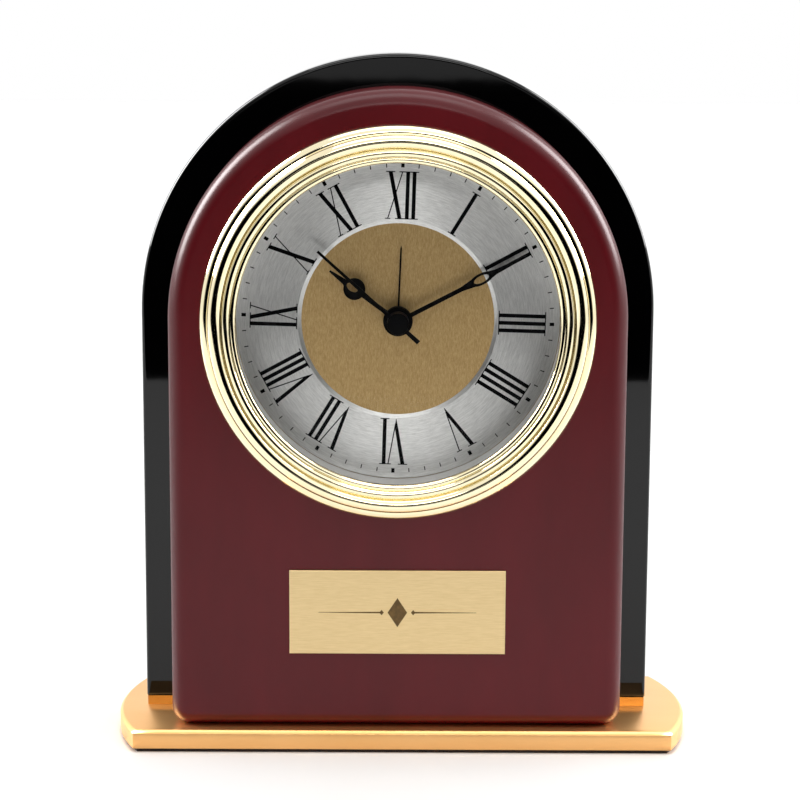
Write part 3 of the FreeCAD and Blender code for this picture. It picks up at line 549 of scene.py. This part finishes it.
def make_ring(mats):
    """Flat silver ring whose inner edge slopes down to the dial; RING_LIP is (radius, height over it)."""
    section = [(r, DIAL_D - rise) for r, rise in RING_LIP]
    section += [(RING_FLAT_R, RING_D), (RING_R - RING_EDGE, RING_D), (RING_R, RING_D + RING_EDGE),
                (RING_R, DIAL_D)]
    ring = lathe("chapter_ring_brushed", section, "clock_case", 288, 12.0)
    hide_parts("chapter_ring")
    ring.data.materials.append(mats["chapter_silver"])


# ------------------------------------------------------------ printed hour marks
# In mm, except V_NECK, a share of the height. Strokes, serifs, dots and ticks have half sizes. Places in
# a letter count from its left: a stroke's pair is (at the top, at the foot), a serif's is (left, right).
# The neck, foot and thin stroke of a V count from its point. NUMERALS gives the width that each I takes.
NUMERAL_TOP = 39.0
NUMERAL_FOOT = 26.72
TICK_R = 40.75
THICK = 0.5
SLANTED = 0.53
THIN = 0.15
SERIF = 0.13
SERIF_REACH = 1.2
V_LEFT = 0.85
V_POINT = 2.92
V_RIGHT = 4.72
V_GAP = 1.18
V_NECK = 0.20
V_NECK_LEFT = 0.62
V_NECK_RIGHT = 0.28
V_FOOT = 0.06
V_THIN_SIDE = 0.1
V_THIN_RISE = 1.2
V_LEFT_SERIF = 1.25
V_RIGHT_SERIF = 0.75
X_WIDTH = 4.6
X_THICK = (0.85, 3.55)
X_THIN = (4.0, 0.45)
X_TOP_SERIFS = ((-0.35, 2.05), (3.15, 4.85))
X_FOOT_SERIFS = ((-0.3, 1.15), (2.35, 4.75))
FIVE_MINUTE_DOT = (0.44, 0.6)
MINUTE_TICK = (0.13, 0.55)
# Front and back of the marks, behind the ring's face.
PROUD = -0.03
SUNK = 0.01
NUMERALS = (("XII", 1.69), ("I", 1.7), ("II", 2.0), ("III", 2.0), ("IIII", 1.9), ("V", 1.7),
            ("VI", 1.7), ("VII", 1.87), ("VIII", 1.75), ("IX", 1.66), ("X", 1.7), ("XI", 1.69))


def stroke(x_top, x_foot, half, top, foot):
    """Straight stroke of half width half, from its middle at the top to its middle at the foot."""
    return [(x_top - half, top), (x_top + half, top), (x_foot + half, foot), (x_foot - half, foot)]


def numeral(text, pitch):
    """Outlines of one numeral, x across and y out along its radius, centred on x = 0."""
    top = NUMERAL_TOP
    foot = NUMERAL_FOOT
    strokes = []
    serifs = []
    x = 0.0
    for letter in text:
        if letter == "I":
            c = x + pitch / 2
            strokes.append(stroke(c, c, THICK, top, foot))
            serifs.append((c - SERIF_REACH, c + SERIF_REACH, top))
            serifs.append((c - SERIF_REACH, c + SERIF_REACH, foot))
            x += pitch
        elif letter == "V":
            left = x + V_LEFT
            right = x + V_RIGHT
            point = x + V_POINT
            neck = foot + (top - foot) * V_NECK
            strokes.append([(left - SLANTED, top), (left + SLANTED, top), (point + V_NECK_RIGHT, neck),
                            (point + V_FOOT, foot), (point - V_FOOT, foot), (point - V_NECK_LEFT, neck)])
            strokes.append(stroke(right, point + V_THIN_SIDE, THIN, top, foot + V_THIN_RISE))
            serifs.append((left - V_LEFT_SERIF, left + V_LEFT_SERIF, top))
            serifs.append((right - V_RIGHT_SERIF, right + V_RIGHT_SERIF, top))
            x += V_RIGHT + V_GAP - pitch / 2
        else:
            strokes.append(stroke(x + X_THICK[0], x + X_THICK[1], SLANTED, top, foot))
            strokes.append(stroke(x + X_THIN[0], x + X_THIN[1], THIN, top, foot))
            serifs += [(x + a, x + b, top) for a, b in X_TOP_SERIFS]
            serifs += [(x + a, x + b, foot) for a, b in X_FOOT_SERIFS]
            x += X_WIDTH
    low = min(a for a, b, y in serifs)
    high = max(b for a, b, y in serifs)
    for a, b, y in serifs:
        inward = -SERIF if y == top else SERIF
        strokes.append([(a, y - inward), (b, y - inward), (b, y + inward), (a, y + inward)])
    middle = (low + high) / 2
    return [[(px - middle, py) for px, py in outline] for outline in strokes]


def turned(outline, clockwise):
    """Outline about the hand axis, turned from twelve o'clock, in degrees."""
    a = math.radians(clockwise)
    c = math.cos(a)
    s = math.sin(a)
    return [(x * c + y * s, y * c - x * s) for x, y in outline]


def make_hour_marks(mats):
    """Roman numerals, five-minute dots and minute ticks in one thin mesh."""
    outlines = []
    for k, (text, pitch) in enumerate(NUMERALS):
        outlines += [turned(o, 30 * k) for o in numeral(text, pitch)]
    for k in range(60):
        half_w, half_h = MINUTE_TICK if k % 5 else FIVE_MINUTE_DOT
        low = TICK_R - half_h
        high = TICK_R + half_h
        tick = [(-half_w, low), (half_w, low), (half_w, high), (-half_w, high)]
        outlines.append(turned(tick, 6 * k))
    marks = flat_marks("hour_marks", outlines, place, RING_D + PROUD, RING_D + SUNK, "clock_case")
    marks.data.materials.append(mats["dial_ink"])


# ------------------------------------------------------------ nameplate
PLATE_EDGE = 0.12 * MM
PLATE_STEPS = 10
DIAMOND = [(-2.6, 0.0), (0.0, -4.0), (2.6, 0.0), (0.0, 4.0)]
RULE = [(4.6, -0.22), (21.0, -0.06), (21.0, 0.06), (4.6, 0.22)]
RULE_END = [(3.6, 0.0), (4.2, -0.75), (4.8, 0.0), (4.2, 0.75)]
ENGRAVING_HALF = 0.02


def plate_loop(inset, y):
    """Rectangle of the plate, drawn inwards by inset, at depth y."""
    x0 = PLATE_LOW.x + inset
    x1 = PLATE_HIGH.x - inset
    z0 = PLATE_LOW.z + inset
    z1 = PLATE_HIGH.z - inset
    corners = [(x0, z0), (x1, z0), (x1, z1), (x0, z1)]
    points = []
    for (xa, za), (xb, zb) in zip(corners, corners[1:] + corners[:1]):
        for k in range(PLATE_STEPS):
            t = k / PLATE_STEPS
            points.append(Vector((xa + (xb - xa) * t, y, za + (zb - za) * t)))
    return points


def plate_place(u, w, d):
    """Point of the nameplate: u right and w up from its middle, d behind its face, in mm."""
    middle = (PLATE_LOW + PLATE_HIGH) / 2
    return Vector((middle.x + u * MM, PLATE_LOW.y + d * MM, middle.z + w * MM))


def make_nameplate(mats):
    """Thin plate with a small edge break and a plain diamond-and-rules ornament."""
    loops = [plate_loop(0, PLATE_HIGH.y), plate_loop(0, PLATE_LOW.y + PLATE_EDGE),
             plate_loop(PLATE_EDGE, PLATE_LOW.y)]
    plate = capped("brushed_plate", loops, "clock_case", 20.0)
    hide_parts("nameplate")
    plate.data.materials.append(mats["plate_gold"])

    shapes = [DIAMOND]
    for side in (-1, 1):
        shapes += [[(side * u, w) for u, w in shape] for shape in (RULE, RULE_END)]
    ornament = flat_marks("plate_ornament", shapes, plate_place, -ENGRAVING_HALF, ENGRAVING_HALF,
                          "clock_case")
    ornament.data.materials.append(mats["engraving"])


# ------------------------------------------------------------ camera, light and floor
FRONT_EDGE_Y = BASE_LOW.y
CAMERA_X = -4.2 * MM
CAMERA_BACK = 620.1 * MM
CAMERA_Z = 208.7 * MM
SENSOR_WIDTH = 36.0
LENS_LENGTH = 108.8
LENS_SHIFT = (0.0154, 0.0047)
LOOK_DOWN = 10.37
ROLL = 0.23
FLOOR_NEAR = 0.54
FLOOR_REACH = 3.0
FLOOR_COLUMNS = 24
FLOOR_ROWS = 16
# The room's light by the X, Y and Z of a direction: each fade runs from its first value to its second.
FRONT_FADE = (-0.75, -0.35)
OVERHEAD_FADE = (0.30, 0.52)
ROOM_LIGHT = 1.25
SIDE_FADE = (-0.3, 0.3)
SIDE_LIGHT = (0.8, 1.05)
BOX_AIM = (0.0, 0.0, 0.17)
FILL_AIM = (0.0, 0.0, 0.1)
BOX_SPREAD = 75.0


def make_camera():
    data = bpy.data.cameras.new("camera")
    data.sensor_width = SENSOR_WIDTH
    data.lens = LENS_LENGTH
    data.shift_x, data.shift_y = LENS_SHIFT
    camera = bpy.data.objects.new("camera", data)
    bpy.context.scene.collection.objects.link(camera)
    at = Matrix.Translation((CAMERA_X, FRONT_EDGE_Y - CAMERA_BACK, CAMERA_Z))
    pitch = Matrix.Rotation(math.radians(90 - LOOK_DOWN), 4, "X")
    roll = Matrix.Rotation(math.radians(ROLL), 4, "Z")
    camera.matrix_world = at @ pitch @ roll
    bpy.context.scene.camera = camera


def panel(name, centre, target, width, height, power, spread=180.0, sheen_only=False):
    """Soft box at centre that looks at target; sheen_only keeps it out of diffuse light."""
    data = bpy.data.lights.new(name, "AREA")
    data.shape = "RECTANGLE"
    data.size = width
    data.size_y = height
    data.energy = power
    data.spread = math.radians(spread)
    light = bpy.data.objects.new(name, data)
    bpy.context.scene.collection.objects.link(light)
    light.location = centre
    look = Vector(target) - Vector(centre)
    light.rotation_euler = look.to_track_quat("-Z", "Y").to_euler()
    light.visible_diffuse = not sheen_only


def make_floor(mats):
    """Pale table top that ends just in front of the viewer."""
    near = FRONT_EDGE_Y - FLOOR_NEAR
    xs = [-FLOOR_REACH + 2 * FLOOR_REACH * k / FLOOR_COLUMNS for k in range(FLOOR_COLUMNS + 1)]
    ys = [near + (FLOOR_REACH - near) * k / FLOOR_ROWS for k in range(FLOOR_ROWS + 1)]
    verts = [(x, y, 0.0) for y in ys for x in xs]
    row = FLOOR_COLUMNS + 1
    faces = []
    for j in range(FLOOR_ROWS):
        for i in range(FLOOR_COLUMNS):
            at = j * row + i
            faces.append((at, at + 1, at + row + 1, at + row))
    floor = new_piece("floor", verts, faces, None)
    floor.data.materials.append(mats["floor"])


def smooth_step(tree, value, low, high, to_low, to_high):
    """Ease from to_low to to_high as value goes from low to high."""
    made = node(tree, "ShaderNodeMapRange", interpolation_type="SMOOTHSTEP")
    made.inputs["From Min"].default_value = low
    made.inputs["From Max"].default_value = high
    made.inputs["To Min"].default_value = to_low
    made.inputs["To Max"].default_value = to_high
    tree.links.new(value, made.inputs["Value"])
    return made.outputs["Result"]


def combine(tree, how, a, b):
    made = node(tree, "ShaderNodeMath", operation=how)
    tree.links.new(a, made.inputs[0])
    tree.links.new(b, made.inputs[1])
    return made.outputs["Value"]


def make_world():
    """White studio seen directly; reflections see a dark room in front and soft light round it."""
    world = bpy.data.worlds.new("studio")
    bpy.context.scene.world = world
    world.use_nodes = True
    tree = world.node_tree
    back = tree.nodes["Background"]
    coord = node(tree, "ShaderNodeTexCoord")
    split = node(tree, "ShaderNodeSeparateXYZ")
    tree.links.new(coord.outputs["Generated"], split.inputs["Vector"])
    away = smooth_step(tree, split.outputs["Y"], *FRONT_FADE, 0.0, 1.0)
    above = smooth_step(tree, split.outputs["Z"], *OVERHEAD_FADE, 0.0, 1.0)
    room = smooth_step(tree, combine(tree, "MAXIMUM", away, above), 0.0, 1.0, 0.0, ROOM_LIGHT)
    side = smooth_step(tree, split.outputs["X"], *SIDE_FADE, *SIDE_LIGHT)
    seen = node(tree, "ShaderNodeLightPath")
    strength = node(tree, "ShaderNodeMix", data_type="FLOAT")
    strength.inputs["B"].default_value = 1.0
    tree.links.new(seen.outputs["Is Camera Ray"], strength.inputs["Factor"])
    tree.links.new(combine(tree, "MULTIPLY", room, side), strength.inputs["A"])
    tree.links.new(strength.outputs["Result"], back.inputs["Strength"])
    back.inputs["Color"].default_value = (1.0, 1.0, 1.0, 1.0)


def make_lights():
    panel("left_box", (-0.85, 0.1, 0.65), BOX_AIM, 0.6, 0.9, 9.0, BOX_SPREAD, sheen_only=True)
    panel("right_box", (0.85, 0.1, 0.65), BOX_AIM, 0.6, 0.9, 7.0, BOX_SPREAD, sheen_only=True)
    panel("front_fill", (0.0, -1.8, 0.95), FILL_AIM, 0.9, 0.25, 0.8, 90.0, sheen_only=True)
    panel("top_box", (0.0, -0.15, 1.2), FILL_AIM, 0.9, 0.5, 3.9)
    panel("front_strip", (0.0, -2.6, 0.14), (0.0, 0.0, 0.14), 0.6, 0.17, 0.22)


# ------------------------------------------------------------ finishes of the CAD pieces that stay
FINISH = {
    "base_pad": "pad", "base_screws": "steel", "rear_plinth": "plinth_gold", "board_dowels": "beech",
    "nameplate_tape": "tape", "lens_seal": "rubber", "inner_ring": "inner_silver", "dial": "dial_gold",
    "insert_cup": "black_plastic", "grip_ring": "rubber", "hour_hand": "hand_black",
    "minute_hand": "hand_black", "second_hand": "hand_black", "alarm_hand": "hand_black",
    "movement_front": "black_plastic", "movement_rear": "black_plastic", "shell_screws": "steel",
    "middle_plate": "grey_plastic", "circuit_board": "board_green", "quartz_crystal": "steel",
    "coil": "copper", "stator": "steel", "rotor": "acetal", "intermediate_wheel": "acetal",
    "second_wheel": "acetal", "third_wheel": "acetal", "centre_wheel": "brass", "cannon_pinion": "brass",
    "minute_wheel": "acetal", "hour_wheel": "acetal", "alarm_wheel": "acetal", "buzzer": "brass",
    "alarm_switch": "grey_plastic", "time_knob": "black_plastic", "alarm_knob": "grey_plastic",
    "battery": "jacket", "battery_contacts": "steel", "battery_door": "black_plastic",
}


def make_materials():
    return {
        "mahogany_lacquer": mahogany_lacquer(),
        "piano_black": piano_black(),
        "satin_gold": satin_gold(),
        "polished_gold": polished_gold(),
        "plinth_gold": plinth_gold(),
        "chapter_silver": chapter_silver(),
        "dial_gold": dial_gold(),
        "plate_gold": plate_gold(),
        "inner_silver": inner_silver(),
        "clear_glass": clear_glass(),
        "dial_ink": painted("dial_ink", (0.003, 0.003, 0.0035), 0.45, 900.0, gloss=0.04),
        "engraving": painted("engraving", (0.13, 0.075, 0.022), 0.4, 900.0, metal=0.5),
        "hand_black": painted("hand_black", (0.003, 0.003, 0.0035), 0.4, 900.0, gloss=0.06),
        "pad": painted("pad", (0.022, 0.014, 0.011), 0.85, 700.0, 0.4, dent=0.3),
        "tape": painted("tape", (0.7, 0.7, 0.68), 0.6, 500.0),
        "rubber": painted("rubber", (0.012, 0.012, 0.012), 0.7, 500.0, dent=0.2),
        "black_plastic": painted("black_plastic", (0.012, 0.012, 0.013), 0.45, 300.0, dent=0.2),
        "grey_plastic": painted("grey_plastic", (0.16, 0.16, 0.17), 0.45, 300.0, 0.12, dent=0.2),
        "acetal": painted("acetal", (0.74, 0.72, 0.66), 0.4, 400.0, 0.06),
        "steel": painted("steel", (0.52, 0.52, 0.53), 0.3, 600.0, 0.1, metal=1.0),
        "brass": painted("brass", (0.78, 0.55, 0.22), 0.28, 500.0, 0.1, metal=1.0),
        "copper": painted("copper", (0.62, 0.24, 0.09), 0.3, 1500.0, 0.2, metal=1.0, dent=0.3),
        "board_green": painted("board_green", (0.02, 0.14, 0.06), 0.3, 400.0, 0.15, coat=0.5),
        "beech": painted("beech", (0.55, 0.36, 0.19), 0.55, 300.0, 0.2),
        "jacket": painted("jacket", (0.03, 0.035, 0.05), 0.28, 200.0, 0.1, coat=0.4),
        "floor": painted("floor", (0.94, 0.94, 0.94), 0.6, 12.0, 0.01, dent=0.0, gloss=0.2),
    }


def finish_cad_pieces(mats):
    """Finish each CAD piece that scene.py doesn't replace."""
    for name, finish in FINISH.items():
        piece = NODES[name]
        if not piece.material_slots:
            piece.data.materials.append(mats[finish])
        for slot in piece.material_slots:
            slot.material = mats[finish]


mats = make_materials()
bpy.context.scene.view_settings.view_transform = "Standard"
make_camera()
make_floor(mats)
make_world()
make_lights()
make_base(mats)
make_boards(mats)
make_bezel(mats)
make_lens(mats)
make_ring(mats)
make_hour_marks(mats)
make_nameplate(mats)
finish_cad_pieces(mats)
